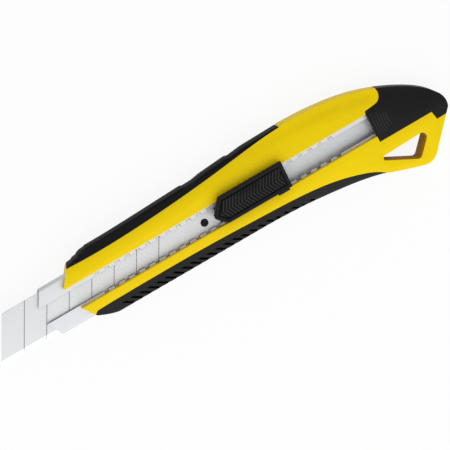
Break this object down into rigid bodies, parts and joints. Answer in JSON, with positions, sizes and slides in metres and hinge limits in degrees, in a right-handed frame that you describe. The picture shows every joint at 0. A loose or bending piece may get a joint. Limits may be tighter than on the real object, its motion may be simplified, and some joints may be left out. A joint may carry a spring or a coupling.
{
  "type": "snap-off utility knife",
  "caption": "Snap-off utility knife with an 18 mm segmented blade in a notched steel channel, auto-lock slider, rubber grips, end cap and hanging loop.",
  "frame": {"origin": "on the back face the knife lies on, under the middle of its bounding box", "axes": "+X from the blade tip to the tail, +Y from the cutting edge to the spine, +Z out of the slider face"},
  "size_m": [0.2012, 0.0425, 0.015],
  "materials": {
    "yellow_plastic": "moulded, satin to gloss",
    "black_rubber": "soft moulded rubber, matt",
    "rail_steel": "folded sheet, bright",
    "blade_steel": "ground, bright bevel",
    "spring_steel": "plain",
    "black_plastic": "fine moulded texture"
  },
  "bodies": {
    "handle": {"handle_body": "yellow_plastic", "upper_grip": "black_rubber", "lower_grip": "black_rubber", "blade_rail": "rail_steel"},
    "carriage": {"blade": "blade_steel", "blade_carrier": "black_plastic", "lock_spring": "spring_steel"},
    "thumb": {"thumb_button": "black_plastic", "button_pad": "black_rubber"},
    "cap": {"end_cap": "black_plastic"}
  },
  "joints": [
    {"name": "blade_slide", "type": "slide", "parent": "handle", "child": "carriage", "axis": [1, 0, 0], "range_m": [-0.0455, 0.03185], "deforming": ["lock_spring"]},
    {"name": "button_press", "type": "slide", "parent": "carriage", "child": "thumb", "axis": [0, 0, -1], "range_m": [0, 0.0011], "stiffness_N_per_m": 800, "springref_m": -0.001, "deforming": ["lock_spring"]},
    {"name": "cap_pull", "type": "slide", "parent": "handle", "child": "cap", "axis": [1, 0, 0], "range_m": [0, 0.025]}
  ]
}
